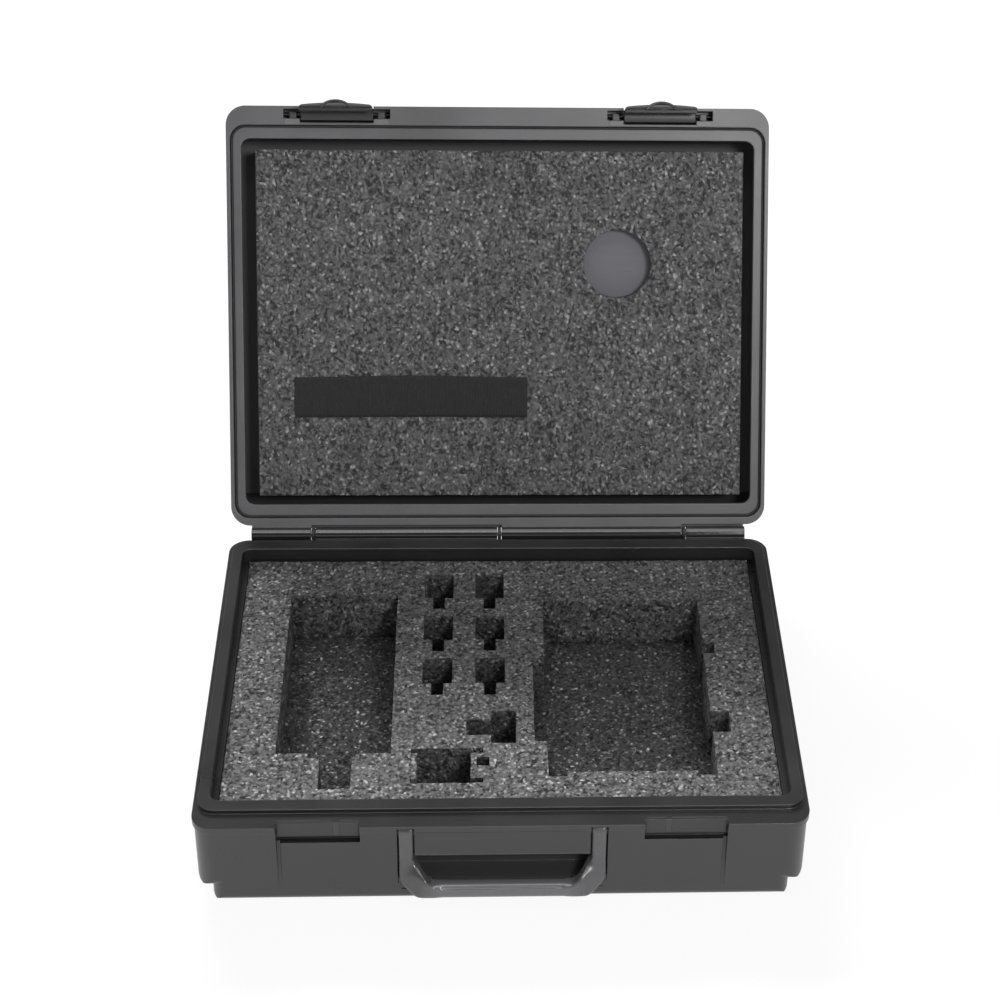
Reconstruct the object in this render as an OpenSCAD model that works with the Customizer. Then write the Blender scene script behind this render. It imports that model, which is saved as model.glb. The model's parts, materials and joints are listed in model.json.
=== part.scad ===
// Hinged plastic instrument case with die-cut foam, a lid pad with a strap, draw latches and a handle.
// The case lies on its base with the lid leaning open. Origin: centre of the underside of the base.
// X runs along the width, -Y is the handle side, +Y is the hinge side and Z is up.

/* [Case] */
// Width of the closed case across the rim bands
case_w = 380; // [340:1:460]
// Depth of the closed case from the handle side to the hinge side
case_d = 295; // [270:1:360]
// Height of the base up to the shoulder of its rim
base_h = 62; // [58:1:90]
// Height of the lid from its rim to its top
lid_h = 42; // [40:1:70]
// Thickness of the outer walls
wall = 3.2; // [2.4:0.1:4.5]
// Thickness of the base floor and of the lid top
panel_t = 3; // [2:0.1:5]
// Radius of the upright corners
corner_r = 13.5; // [11:0.5:18]
// Gap between the rims of the closed case
seam_gap = 0.4; // [0.2:0.1:1]
// How far the rim bands stand proud of the walls
band_out = 1.2; // [0.6:0.1:2]
// Height of the rim bands
band_h = 4.5; // [3:0.5:7]
// Rounding of the lid's top edges and of the base's lower edges
edge_r = 6; // [3:0.5:9]

/* [Rim] */
// Width of the shoulder outside the lip on the handle side
shoulder_front = 13.5; // [10:0.5:18]
// Width of the shoulder on the hinge side
shoulder_back = 5.5; // [4.6:0.1:8]
// Width of the shoulder at the left and right
shoulder_side = 3; // [2.4:0.1:5]
// Width of the lip at the front and back
lip_end = 9; // [6:0.5:12]
// Width of the lip at the left and right
lip_side = 7; // [5:0.5:10]
// Height of the lip above the shoulder
lip_h = 3; // [2:0.5:5]
// Depth of the solid rim below the shoulder
rim_h = 9; // [7:0.5:12]
// Clearance between the lip and the lid's skirt
rim_clear = 0.4; // [0.2:0.1:0.8]
// Width of the seal groove at the foot of the lid's skirt
seal_w = 1.8; // [1:0.1:2.4]
// Depth of the seal groove
seal_t = 3; // [1:0.5:4]

/* [Plinth] */
// Height of the inset plinth under the base
plinth_h = 12; // [8:1:16]
// How far the plinth is set in at the sides and the back
plinth_in = 9; // [4:0.5:12]
// Radius of the plinth's upright corners
plinth_corner = 8; // [5:0.5:12]
// Rounding of the plinth's lower edge
plinth_r = 5; // [2:0.5:6]

/* [Front panel] */
// Depth of the sunk middle panel at its top
sunk_t = 1.5; // [0.8:0.1:2.2]
// Height at which the sunk panel runs out
sunk_z = 10; // [8:1:20]
// Width of the groove at each end of the sunk panel
groove_w = 2.5; // [1.5:0.1:4]
// Depth of that groove at its top
groove_t = 4.5; // [1.6:0.1:6]

/* [Hinge] */
// Angle through which the lid opens
lid_open = 118; // [95:1:135]
// Distance from the back of the rim to the hinge axis
hinge_out = 6.5; // [6:0.1:9]
// Radius of the hinge barrel
barrel_r = 5; // [4:0.1:5.4]
// Radius of the hinge rod
rod_r = 1.5; // [1.2:0.1:2]
// Length of the two outer knuckles
knuckle_short = 42; // [30:1:60]
// Length of the two inner knuckles
knuckle_long = 129; // [90:1:140]
// Gap between neighbouring knuckles
knuckle_gap = 3; // [1:0.5:5]
// Radial running clearance of the turning bores
run_clear = 0.05; // [0.02:0.01:0.09]
// Gap left at the lid's open stop
stop_gap = 0.3; // [0.2:0.05:0.6]
// Depth of the stop lugs below the hinge axis
stop_drop = 8.7; // [7:0.1:12]

/* [Handle] */
// Distance between the centres of the two handle arms
arm_span = 119; // [100:1:140]
// Width of a handle arm
arm_w = 9.2; // [7:0.1:12]
// Thickness of a handle arm
arm_t = 9; // [7:0.1:10]
// Drop from the shoulder to the handle pivots
pivot_drop = 8; // [6:0.5:10]
// Distance from the rim's front to the handle pivots
pivot_in = 5.6; // [5:0.1:7]
// Drop from the pivots to the middle of the grip
grip_drop = 39.5; // [34:0.5:42]
// How far the grip stands in front of the pivots
grip_out = 10; // [9.6:0.1:14]
// Diameter of the grip
grip_d = 10.6; // [9:0.1:13]
// Distance from an arm's middle to the end of the straight grip
grip_turn = 12; // [8:0.5:16]
// Height above the grip's middle at which the elbow's web meets the arm
web_h = 18.5; // [12:0.5:22]
// Depth of the hollows behind the elbows
elbow_t = 4.5; // [2.5:0.1:5]
// Radius of the handle's pivot pins
hpin_r = 1.5; // [1.2:0.1:1.8]
// How far a pivot pin reaches into the wall each side of an arm
hpin_seat = 5; // [3:0.5:8]
// Clearance around the arms in their channels
arm_clear = 0.7; // [0.4:0.1:1.2]
// Depth of the finger recess behind the grip
finger_t = 18; // [9:0.5:19]
// Drop from the pivots to the upper edge of the finger recess
finger_drop = 17.5; // [12:0.5:22]
// Height of the finger recess
finger_h = 21.5; // [17:0.5:24]
// Thickness of the recess walls
recess_wall = 2.4; // [1.6:0.1:3]

/* [Latches] */
// Distance from the middle of the case to the middle of a latch
latch_x = 113; // [108:1:118]
// Width of a latch lever
lever_w = 50; // [40:1:52]
// Thickness of the lever's blade
lever_t = 2.8; // [2:0.1:3]
// How far the closed lever lies behind the face of the rim
lever_in = 1.6; // [0.2:0.1:2]
// Depth of the lever's hinge block
block_t = 9; // [7:0.1:9.4]
// Height of the latch axis above the rim
latch_up = 8.1; // [7.5:0.1:10]
// How far the lever reaches below the shoulder
lever_down = 13.8; // [12:0.1:16]
// Radius of the latch pins
lpin_r = 1.5; // [1.2:0.1:1.8]
// How far a latch pin reaches into the housing past each pocket
lpin_seat = 5; // [3:0.5:8]
// Angle by which a free latch stands off from its closed position
latch_rest = 6; // [5:0.5:10]
// Side clearance of a lever in its housing
lever_clear = 0.6; // [0.3:0.1:1]
// Width of the pocket beside each end of a lever
socket_w = 10.5; // [8:0.5:12]
// Depth of that pocket behind the rim
socket_h = 12; // [9:0.5:13]
// Distance from the front of the rim to that pocket
socket_in = 2; // [1.5:0.1:3]
// Opening of that pocket from its front to its back
socket_t = 6.8; // [5:0.1:8]
// Width of the thumb tab
tab_w = 25; // [18:1:32]
// How far the thumb tab stands out from the lever
tab_out = 3.6; // [1.5:0.1:4]
// Thickness of the thumb tab
tab_t = 3.6; // [2.5:0.1:5]
// Reach of the hook behind the blade
hook_in = 1.6; // [1.2:0.1:1.9]
// Height of the hook
hook_h = 2.2; // [1.6:0.1:3]
// Thickness of the catch plates
catch_t = 2; // [1.5:0.1:2.5]
// Height of the catch plates
catch_h = 11; // [8:0.5:12]
// Width of the wider catch plate
catch_wide = 34; // [24:1:36]
// Width of the narrower catch plate
catch_narrow = 12; // [8:0.5:13]
// Clearance between lever, hook and catch
hook_clear = 0.4; // [0.2:0.05:0.6]

/* [Base foam] */
// Thickness of the die-cut layer
cut_t = 38; // [30:1:60]
// Gap between the foam and the lip at the left and right
foam_side_gap = 4; // [3:0.5:9]
// Gap between the foam and the lip at the front and back
foam_end_gap = 1.5; // [0.5:0.5:3]
// Left edge of the meter pocket, measured left of the middle
meter_left = 144; // [120:1:150]
// Width of the meter pocket
meter_w = 73; // [50:1:80]
// Front edge of the meter pocket, measured in front of the middle
meter_front = 69; // [50:1:74]
// Length of the meter pocket
meter_l = 165; // [120:1:175]
// Width of the tab notch in front of the meter pocket
notch_w = 20; // [12:1:26]
// Length of the tab notch
notch_l = 33; // [20:1:38]
// Width of a plug pocket's body
plug_w = 19.5; // [14:0.5:24]
// Length of a plug pocket's body
plug_l = 26; // [18:0.5:30]
// Width of a plug pocket's stem
stem_w = 7.7; // [5:0.1:12]
// Length of a plug pocket's stem
stem_l = 12; // [6:0.5:15]
// Distance between the two columns of plug pockets
plug_dx = 35; // [28:0.5:40]
// Distance between the rows of plug pockets
plug_dy = 46; // [43:0.5:52]
// Left edge of the adapter pocket, measured right of the middle
adapter_x = 29.5; // [26:0.5:34]
// Width of the adapter pocket
adapter_w = 107.5; // [80:0.5:112]
// Front edge of the adapter pocket, measured in front of the middle
adapter_front = 88; // [70:1:100]
// Length of the adapter pocket
adapter_l = 176; // [140:1:200]
// Length of the finger notch at the left of the adapter pocket
finger_l = 88; // [60:1:110]
// Width of the probe pocket
probe_w = 34; // [24:1:36]
// Length of the probe pocket
probe_l = 32.5; // [24:0.5:34]
// Width of the small pockets
small_cut = 16; // [12:0.5:18]
// Depth of the ears and notches at the pockets' corners
ear = 4; // [3:0.5:4.5]

/* [Lid lining] */
// Gap between the lid's foam and its frame
lid_foam_gap = 8.5; // [5:0.5:10]
// How far the foam's face lies behind the rim
lid_foam_in = 5; // [4:0.5:9]
// Thickness of the lid's face pad
pad_t = 12; // [8:0.5:14]
// Thickness of the backing board behind the face pad
board_t = 2; // [1.5:0.1:4]
// Diameter of the round opening in the face pad
hole_d = 47.5; // [30:0.5:70]
// Distance of the round opening right of the middle
hole_x = 83.8; // [60:0.1:110]
// Distance of the round opening from the hinge axis
hole_s = 192.3; // [150:0.1:215]
// Visible length of the strap
strap_l = 166; // [120:1:180]
// Width of the strap
strap_w = 29; // [20:1:40]
// Thickness of the strap
strap_t = 1.5; // [1:0.1:2.5]
// Distance of the strap's left end from the middle
strap_left = 145.4; // [120:0.1:155]
// Distance of the strap's centre line from the hinge axis
strap_s = 97.5; // [70:0.5:130]
// Length of each strap end that is folded behind the board
tail_l = 12; // [8:1:20]
// Thickness of the bars that clamp the strap ends
clamp_t = 2; // [1.5:0.1:3]
// Clearance around the strap in its slits
slit_clear = 0.3; // [0.2:0.05:0.6]

/* [Hidden] */
$fn = 64;

// Cuts run past the faces that they open by this much.
past = 1;
left = -1;
right = 1;

// Shared heights and faces of the closed case
half_w = case_w / 2;
front_y = -case_d / 2;
back_y = case_d / 2;
rim_z = base_h + seam_gap;
hinge_y = back_y + hinge_out;
hinge_z = base_h + seam_gap / 2;
lip_x = half_w - shoulder_side;
lip_front = front_y + shoulder_front;
lip_back = back_y - shoulder_back;
open_x = lip_x - lip_side;
open_front = lip_front + lip_end;
open_back = lip_back - lip_end;
lip_r = corner_r - shoulder_side;
open_r = corner_r / 2;
wall_front = front_y + band_out;
inner_front = wall_front + wall;
inner_back = back_y - band_out - wall;
inner_x = half_w - band_out - wall;
inner_r = corner_r - band_out - wall;

// The sunk panel of the front wall ends under the rim band and beside the latches.
panel_top = base_h - band_h;
panel_half = latch_x + lever_w / 2 + lever_clear;

// Hinge
knuckle_row = 2 * knuckle_short + 2 * knuckle_long + 3 * knuckle_gap;
knuckle_len = [knuckle_short, knuckle_long, knuckle_long, knuckle_short];
knuckle_x = [
    -knuckle_row / 2,
    -knuckle_row / 2 + knuckle_short + knuckle_gap,
    -knuckle_row / 2 + knuckle_short + knuckle_long + 2 * knuckle_gap,
    knuckle_row / 2 - knuckle_short
];
lid_knuckles = [0, 2];
base_knuckles = [1, 3];

// Handle
arm_x = arm_span / 2;
pivot_y = front_y + pivot_in;
pivot_z = base_h - pivot_drop;
grip_y = pivot_y - grip_out;
grip_z = pivot_z - grip_drop;
grip_half = arm_x - grip_turn;
elbow_x = arm_x - grip_turn / 2;
elbow_w = grip_turn + arm_w - 2 * past;
arm_low = grip_z + grip_d / 2;
web_top = grip_z + web_h;
arm_back = pivot_y + arm_t / 2;
channel_back = arm_back + arm_clear / 2;
channel_top = base_h - seam_gap - recess_wall / 2;
finger_half = arm_x - arm_w / 2 - arm_clear;
finger_back = wall_front + finger_t;
finger_z1 = pivot_z - finger_drop;
finger_z0 = finger_z1 - finger_h;
pin_boss = arm_t;

// Latches
axis_y = front_y + block_t / 2 + band_out;
axis_z = rim_z + latch_up;
eye_r = block_t / 2;
lever_bottom = base_h - lever_down;
lever_face = front_y + lever_in;
lever_back = lever_face + lever_t;
catch_face = lever_back + hook_clear;
catch_back = catch_face + catch_t;
catch_z0 = lever_bottom + hook_h + hook_clear;
lpin_len = lever_w + 2 * lever_clear + 2 * socket_w + 2 * lpin_seat;
housing_half = lpin_len / 2 + recess_wall;
housing_top = axis_z + eye_r + recess_wall + 2 * lever_clear;
housing_back = axis_y + eye_r + recess_wall;

// Foam
foam_x = open_x - foam_side_gap;
foam_front = open_front + foam_end_gap;
foam_back = open_back - foam_end_gap;
pad_z0 = panel_t;
cut_z1 = base_h - rim_h;
cut_z0 = cut_z1 - cut_t;
adapter_right = adapter_x + adapter_w;

// Lid lining, from the face of the pad back to the lid top
lining_x = open_x - lid_foam_gap;
lining_front = open_front + lid_foam_gap;
lining_back = open_back - lid_foam_gap;
face_z = rim_z + lid_foam_in;
board_z = face_z + pad_t;
backer_z = board_z + board_t;
lid_top = rim_z + lid_h;
strap_x0 = -strap_left;
strap_x1 = strap_x0 + strap_l;
strap_y = hinge_y - strap_s;
relief_l = tail_l + 4 * slit_clear;

// A plate with rounded upright corners between two corners of its box.
module rounded_plate(x, y0, y1, r, z0, z1) {
    translate([-x, y0 + r, z0]) cube([2 * x, y1 - y0 - 2 * r, z1 - z0]);
    translate([-x + r, y0, z0]) cube([2 * x - 2 * r, y1 - y0, z1 - z0]);
    for (sx = [-x + r, x - r], sy = [y0 + r, y1 - r])
        translate([sx, sy, z0]) cylinder(h = z1 - z0, r = r);
}

// Places a part drawn on the closed case where the open lid carries it.
module on_lid() {
    translate([0, hinge_y, hinge_z]) rotate([-lid_open, 0, 0]) translate([0, -hinge_y, -hinge_z])
        children();
}

// A rod along X, centred on x.
module x_rod(x, y, z, len, r) {
    translate([x - len / 2, y, z]) rotate([0, 90, 0]) cylinder(h = len, r = r);
}

// A box given by its two corners.
module box(a, b) {
    translate(a) cube(b - a);
}

/* Base shell */

// Half of an upright cross-section between two heights, its lower edge rounded.
module half_section(reach, r, z0, z1) {
    translate([0, z0 + r]) square([reach, z1 - z0 - r]);
    translate([0, z0]) square([reach - r, z1 - z0]);
    translate([reach - r, z0 + r]) circle(r = r);
}

// A body with rounded upright corners, whose lower edges are rounded along all four sides.
module rounded_body(x, y0, y1, corner, foot_r, z0, z1) {
    intersection() {
        rounded_plate(x, y0, y1, corner, z0, z1);
        translate([0, y1 + past, 0]) rotate([90, 0, 0]) linear_extrude(y1 - y0 + 2 * past)
            union() {
                half_section(x, foot_r, z0, z1);
                mirror([1, 0]) half_section(x, foot_r, z0, z1);
            }
        translate([-x - past, 0, 0]) rotate([90, 0, 90]) linear_extrude(2 * x + 2 * past)
            union() {
                half_section(y1, foot_r, z0, z1);
                mirror([1, 0]) half_section(-y0, foot_r, z0, z1);
            }
    }
}

// The plinth is set in at the sides and the back, and flush with the wall on the handle side.
module base_outside() {
    side_x = half_w - band_out;
    side_back = back_y - band_out;
    rounded_plate(half_w, front_y, back_y, corner_r, panel_top, base_h);
    rounded_body(side_x, wall_front, side_back, corner_r - band_out, edge_r, plinth_h, panel_top + past);
    rounded_body(side_x - plinth_in, wall_front, side_back - plinth_in, plinth_corner, plinth_r,
        0, plinth_h + edge_r + past);
}

// The middle panel sinks towards its top and ends in an upright groove at each side.
module sunk_panel() {
    rotate([90, 0, 90]) translate([0, 0, -panel_half]) linear_extrude(2 * panel_half)
        polygon([
            [wall_front - past, sunk_z],
            [wall_front, sunk_z],
            [wall_front + sunk_t, panel_top],
            [wall_front - past, panel_top]
        ]);
    for (side = [left, right])
        rotate([90, 0, 90]) translate([0, 0, side * (panel_half - groove_w / 2) - groove_w / 2])
            linear_extrude(groove_w)
                polygon([
                    [wall_front - past, sunk_z],
                    [wall_front, sunk_z],
                    [wall_front + groove_t, panel_top],
                    [wall_front - past, panel_top]
                ]);
}

// The room for the handle: arm channels, shallow hollows behind the elbows and the finger recess,
// grown by a wall where asked.
module handle_room(grow) {
    for (side = [left, right])
        box([side * arm_x - arm_w / 2 - arm_clear - grow, front_y - past, grip_z - grow],
            [side * arm_x + arm_w / 2 + arm_clear + grow, channel_back + grow, channel_top + grow / 2]);
    for (side = [left, right])
        box([side * elbow_x - elbow_w / 2 - grow, front_y - past, grip_z - grip_d / 2 - grow],
            [side * elbow_x + elbow_w / 2 + grow, wall_front + elbow_t + grow, finger_z0 + past + grow]);
    box([-finger_half - grow, front_y - past, finger_z0 - grow],
        [finger_half + grow, finger_back + grow, finger_z1 + grow]);
}

// An upright rib on the inside of the front wall, from the floor to the rim.
module front_rib(x, w, back) {
    box([x - w / 2, wall_front + wall / 2, panel_t / 2], [x + w / 2, back, base_h - rim_h + past]);
}

// A thickening of the front wall that holds a handle pin at both sides of its arm.
module pivot_boss(side) {
    half = arm_w / 2 + arm_clear + hpin_seat + past;
    box([side * arm_x - half, wall_front + wall / 2, pivot_z - pin_boss / 2],
        [side * arm_x + half, pivot_y + pin_boss / 2, base_h - past]);
}

module catch_zone(side) {
    translate([side * latch_x, 0, 0]) {
        box([-lever_w / 2 - lever_clear, front_y - past, lever_bottom - lever_clear],
            [lever_w / 2 + lever_clear, catch_back, catch_z0]);
        box([-lever_w / 2 - lever_clear, front_y - past, catch_z0 - past],
            [lever_w / 2 + lever_clear, catch_face, base_h + past]);
        for (part = catch_spans(side))
            box([part[0], front_y - past, catch_z0 - past], [part[1], catch_back, catch_z0 + catch_h]);
    }
}

// A thickening of the front wall that carries the catch plates.
module catch_seat(side) {
    half = lever_w / 2 + lever_clear + recess_wall;
    box([side * latch_x - half, wall_front + wall / 2, lever_bottom - lever_clear - recess_wall],
        [side * latch_x + half, catch_back + recess_wall, base_h - past]);
}

// The two catch plates of a latch, as spans across the lever, wider one outside.
function catch_spans(side) = side == left
    ? [[-lever_w / 2, -lever_w / 2 + catch_wide], [lever_w / 2 - catch_narrow, lever_w / 2]]
    : [[lever_w / 2 - catch_wide, lever_w / 2], [-lever_w / 2, -lever_w / 2 + catch_narrow]];

module base_knuckle(i) {
    translate([knuckle_x[i], 0, 0]) {
        translate([0, hinge_y, hinge_z]) rotate([0, 90, 0]) cylinder(h = knuckle_len[i], r = barrel_r);
        box([0, back_y - band_out - past, hinge_z - barrel_r],
            [knuckle_len[i], hinge_y, hinge_z - seam_gap / 2]);
    }
}

module base_shell() {
    color("#3a3a3c")
    difference() {
        union() {
            difference() {
                union() {
                    base_outside();
                    rounded_plate(lip_x, lip_front, lip_back, lip_r, base_h - past, base_h + lip_h);
                }
                rounded_plate(open_x, open_front, open_back, open_r, panel_t + past, base_h + lip_h + past);
                rounded_plate(inner_x, inner_front, inner_back, inner_r,
                    plinth_h + panel_t, base_h - rim_h);
                rounded_plate(inner_x - plinth_in, inner_front, inner_back - plinth_in,
                    inner_r - plinth_in / 2, panel_t, plinth_h + panel_t + past);
            }
            intersection() {
                handle_room(recess_wall);
                box([-half_w, wall_front + wall / 2, panel_t], [half_w, open_front, base_h]);
            }
            for (side = [left, right]) pivot_boss(side);
            for (side = [left, right]) {
                front_rib(side * (panel_half - groove_w / 2), groove_w + 2 * recess_wall,
                    wall_front + groove_t + recess_wall);
                front_rib(side * (panel_half - groove_w / 2), recess_wall, open_front);
                front_rib(side * (panel_half + finger_half) / 2, recess_wall, open_front);
                catch_seat(side);
            }
            for (i = base_knuckles) base_knuckle(i);
        }
        sunk_panel();
        handle_room(0);
        for (side = [left, right]) {
            catch_zone(side);
            x_rod(side * arm_x, pivot_y, pivot_z, arm_w + 2 * arm_clear + 2 * hpin_seat, hpin_r);
        }
        x_rod(0, hinge_y, hinge_z, knuckle_row + 2 * past, rod_r);
    }
}

module catch_part(side, k) {
    part = catch_spans(side)[k];
    translate([side * latch_x, 0, 0])
        box([part[0], catch_face, catch_z0], [part[1], catch_back, catch_z0 + catch_h]);
}

module catch_plate(side) {
    color("#454547") catch_part(side, 0);
}

module catch_block(side) {
    color("#454547") catch_part(side, 1);
}

/* Foam in the base */

module foam_slab(z0, z1) {
    box([-foam_x, foam_front, z0], [foam_x, foam_back, z1]);
}

module base_foam_pad() {
    color("#47484a") foam_slab(pad_z0, cut_z0);
}

// A pocket is cut right through the die-cut layer.
module pocket(x, y, w, l) {
    box([x, y, cut_z0 - past], [x + w, y + l, cut_z1 + past]);
}

module meter_pocket() {
    notch_x = -meter_left + meter_w / 2 - notch_w / 2 + ear / 2;
    pocket(-meter_left, -meter_front, meter_w, meter_l);
    pocket(notch_x - 2 * ear, -meter_front - ear - past, notch_w + 3 * ear, ear + 2 * past);
    pocket(notch_x, -meter_front - notch_l, notch_w, notch_l + past);
}

module plug_pocket(x, y) {
    pocket(x - plug_w / 2, y, plug_w, plug_l);
    pocket(x - stem_w / 2, y - stem_l, stem_w, stem_l + past);
}

// The block of six plug pockets is centred between the two large pockets.
plug_mid = (-meter_left + meter_w + adapter_x) / 2 - ear;

module plug_pockets() {
    for (col = [left, right], row = [0:2])
        plug_pocket(plug_mid + col * plug_dx / 2, row * plug_dy);
}

module adapter_pocket() {
    finger_y = -adapter_front + (adapter_l - finger_l) / 3;
    pocket(adapter_x, -adapter_front, adapter_w, adapter_l);
    pocket(adapter_x - 2 * ear, finger_y, 2 * ear + past, finger_l);
    pocket(adapter_x, -adapter_front - ear, 3 * ear, ear + past);
    pocket(adapter_right - 3 * ear, -adapter_front - ear, 3 * ear, ear + past);
    pocket(adapter_right - past, finger_y + 2 * ear, 3 * ear + past, small_cut + ear);
    pocket(adapter_right - past, finger_y + finger_l, 2 * ear + past, 3 * ear);
}

module probe_pockets() {
    probe_x = -meter_left + meter_w + small_cut + ear / 4;
    probe_y = -meter_front - probe_l + ear;
    pocket(probe_x, probe_y, probe_w, probe_l);
    for (y = [probe_y, probe_y + probe_l - ear])
        pocket(probe_x - ear, y, probe_w + 3 * ear, ear);
    pocket(probe_x + probe_w + ear, probe_y + small_cut, 2 * ear, 2 * ear);
    small_y = probe_y + probe_l + ear + past;
    pocket(plug_mid + small_cut + ear / 2, small_y, small_cut, 2 * small_cut - past);
    pocket(plug_mid + ear / 2, small_y + 2 * ear, small_cut + past, small_cut - past);
}

module base_foam_insert() {
    color("#5d5e5f")
    difference() {
        foam_slab(cut_z0, cut_z1);
        meter_pocket();
        plug_pockets();
        adapter_pocket();
        probe_pockets();
    }
}

/* Handle */

module handle_arm(side) {
    x = side * arm_x;
    x_rod(x, pivot_y, pivot_z, arm_w, arm_t / 2);
    box([x - arm_w / 2, pivot_y - arm_t / 2, web_top - past], [x + arm_w / 2, arm_back, pivot_z]);
    hull() {
        box([x - arm_w / 2, pivot_y - arm_t / 2, arm_low], [x + arm_w / 2, arm_back, web_top]);
        x_rod(side * grip_half, grip_y, grip_z, past, grip_d / 2, $fn = 32);
    }
}

module handle() {
    color("#6e7074")
    difference() {
        union() {
            for (side = [left, right]) handle_arm(side);
            x_rod(0, grip_y, grip_z, 2 * grip_half, grip_d / 2);
        }
        x_rod(0, pivot_y, pivot_z, arm_span + 2 * arm_w, hpin_r + run_clear);
    }
}

module handle_pin(side) {
    color("#a9abae") x_rod(side * arm_x, pivot_y, pivot_z, arm_w + 2 * arm_clear + 2 * hpin_seat, hpin_r);
}

/* Lid, drawn closed and then opened */

module hinge_rod() {
    color("#b4b6b8") x_rod(0, hinge_y, hinge_z, knuckle_row, rod_r);
}

// Half of the lid's cross-section above its rim band, with a rounded top edge.
module half_top(reach) {
    side_z = rim_z + band_h - past;
    translate([0, side_z]) square([reach, lid_top - edge_r - side_z]);
    translate([0, side_z]) square([reach - edge_r, lid_top - side_z]);
    translate([reach - edge_r, lid_top - edge_r]) circle(r = edge_r);
}

module lid_outside() {
    side_x = half_w - band_out;
    rounded_plate(half_w, front_y, back_y, corner_r, rim_z, rim_z + band_h);
    intersection() {
        rounded_plate(side_x, wall_front, back_y - band_out, corner_r - band_out,
            rim_z + band_h - past, lid_top);
        translate([0, back_y, 0]) rotate([90, 0, 0]) linear_extrude(case_d)
            union() {
                half_top(side_x);
                mirror([1, 0]) half_top(side_x);
            }
        translate([-half_w, 0, 0]) rotate([90, 0, 90]) linear_extrude(case_w)
            union() {
                half_top(back_y - band_out);
                mirror([1, 0]) half_top(-wall_front);
            }
    }
}

// A groove for a soft seal at the foot of the lid's skirt.
module seal_groove() {
    side = lip_x + rim_clear;
    front = lip_front - rim_clear;
    back = lip_back + rim_clear;
    floor_z = rim_z + lip_h;
    difference() {
        rounded_plate(side, front, back, lip_r + rim_clear, floor_z - past, floor_z + seal_t);
        rounded_plate(side - seal_w, front + seal_w, back - seal_w, lip_r + rim_clear - seal_w,
            floor_z - 2 * past, floor_z + seal_t + past);
    }
}

module latch_housing(side) {
    box([side * latch_x - housing_half, wall_front + past, rim_z],
        [side * latch_x + housing_half, housing_back, housing_top]);
}

module latch_room(side) {
    half = lever_w / 2 + lever_clear;
    translate([side * latch_x, 0, 0]) {
        box([-half, front_y - past, rim_z - past],
            [half, housing_back - recess_wall / 2, housing_top - recess_wall]);
        for (end = [left, right])
            translate([end * (half + socket_w / 2), 0, 0])
                box([-socket_w / 2 - past, front_y + socket_in, rim_z - past],
                    [socket_w / 2 + past, front_y + socket_in + socket_t, rim_z + socket_h]);
    }
}

// A lid knuckle has a lug that meets the back of the base's rim band when the lid is open.
module lid_knuckle(i) {
    lug_back = hinge_out - stop_gap;
    translate([knuckle_x[i], hinge_y, hinge_z]) {
        rotate([0, 90, 0]) cylinder(h = knuckle_len[i], r = barrel_r);
        box([0, -hinge_out - wall, seam_gap / 2], [knuckle_len[i], 0, barrel_r]);
        rotate([lid_open, 0, 0])
            box([0, -lug_back, -stop_drop], [knuckle_len[i], -rod_r, -rod_r]);
    }
}

module lid_shell() {
    color("#4a4a4d") on_lid()
    difference() {
        union() {
            difference() {
                lid_outside();
                rounded_plate(lip_x + rim_clear, lip_front - rim_clear, lip_back + rim_clear,
                    lip_r + rim_clear, rim_z - past, rim_z + lip_h);
                seal_groove();
                rounded_plate(open_x, open_front, open_back, open_r, rim_z, lid_top - panel_t);
                rounded_plate(inner_x, inner_front, inner_back, inner_r, rim_z + rim_h, lid_top - panel_t);
            }
            for (side = [left, right]) latch_housing(side);
            for (i = lid_knuckles) lid_knuckle(i);
        }
        for (side = [left, right]) {
            latch_room(side);
            x_rod(side * latch_x, axis_y, axis_z, lpin_len, lpin_r);
        }
        x_rod(0, hinge_y, hinge_z, knuckle_row + 2 * past, rod_r + run_clear);
    }
}

/* Lining of the lid */

module lining_slab(z0, z1) {
    box([-lining_x, lining_front, z0], [lining_x, lining_back, z1]);
}

// The strap's ends pass through slits just inside its visible length.
module strap_slits(z0, z1) {
    for (x = [strap_x0, strap_x1 - strap_t])
        box([x - slit_clear, strap_y - strap_w / 2 - slit_clear, z0 - past],
            [x + strap_t + slit_clear, strap_y + strap_w / 2 + slit_clear, z1 + past]);
}

module lid_foam_pad() {
    color("#4f5051") on_lid()
    difference() {
        lining_slab(face_z, board_z);
        translate([hole_x, hinge_y - hole_s, face_z - past]) cylinder(h = pad_t + 2 * past, d = hole_d);
        strap_slits(face_z, board_z);
    }
}

module lid_backing_board() {
    color("#5f5d66") on_lid()
    difference() {
        lining_slab(board_z, backer_z);
        strap_slits(board_z, backer_z);
    }
}

// The backer is relieved where the strap ends are clamped to the board.
module lid_foam_backer() {
    relief_w = strap_w + 4 * slit_clear;
    relief_z = backer_z + strap_t + clamp_t + slit_clear;
    color("#47484a") on_lid()
    difference() {
        lining_slab(backer_z, lid_top - panel_t);
        for (x = [strap_x0 - 2 * slit_clear, strap_x1 + 2 * slit_clear - relief_l])
            box([x, strap_y - relief_w / 2, backer_z - past],
                [x + relief_l, strap_y + relief_w / 2, relief_z]);
    }
}

module elastic_strap() {
    y0 = strap_y - strap_w / 2;
    y1 = strap_y + strap_w / 2;
    color("#1c1c1e") on_lid() {
        box([strap_x0, y0, face_z - strap_t], [strap_x1, y1, face_z]);
        for (x = [strap_x0, strap_x1 - strap_t])
            box([x, y0, face_z - strap_t], [x + strap_t, y1, backer_z + strap_t]);
        for (x = [strap_x0, strap_x1 - tail_l])
            box([x, y0, backer_z], [x + tail_l, y1, backer_z + strap_t]);
    }
}

module strap_clamp(side) {
    x = side == left ? strap_x0 + strap_t : strap_x1 - tail_l;
    color("#9c9ea1") on_lid()
        box([x, strap_y - strap_w / 2, backer_z + strap_t],
            [x + tail_l - strap_t, strap_y + strap_w / 2, backer_z + strap_t + clamp_t]);
}

/* Latches */

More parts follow.
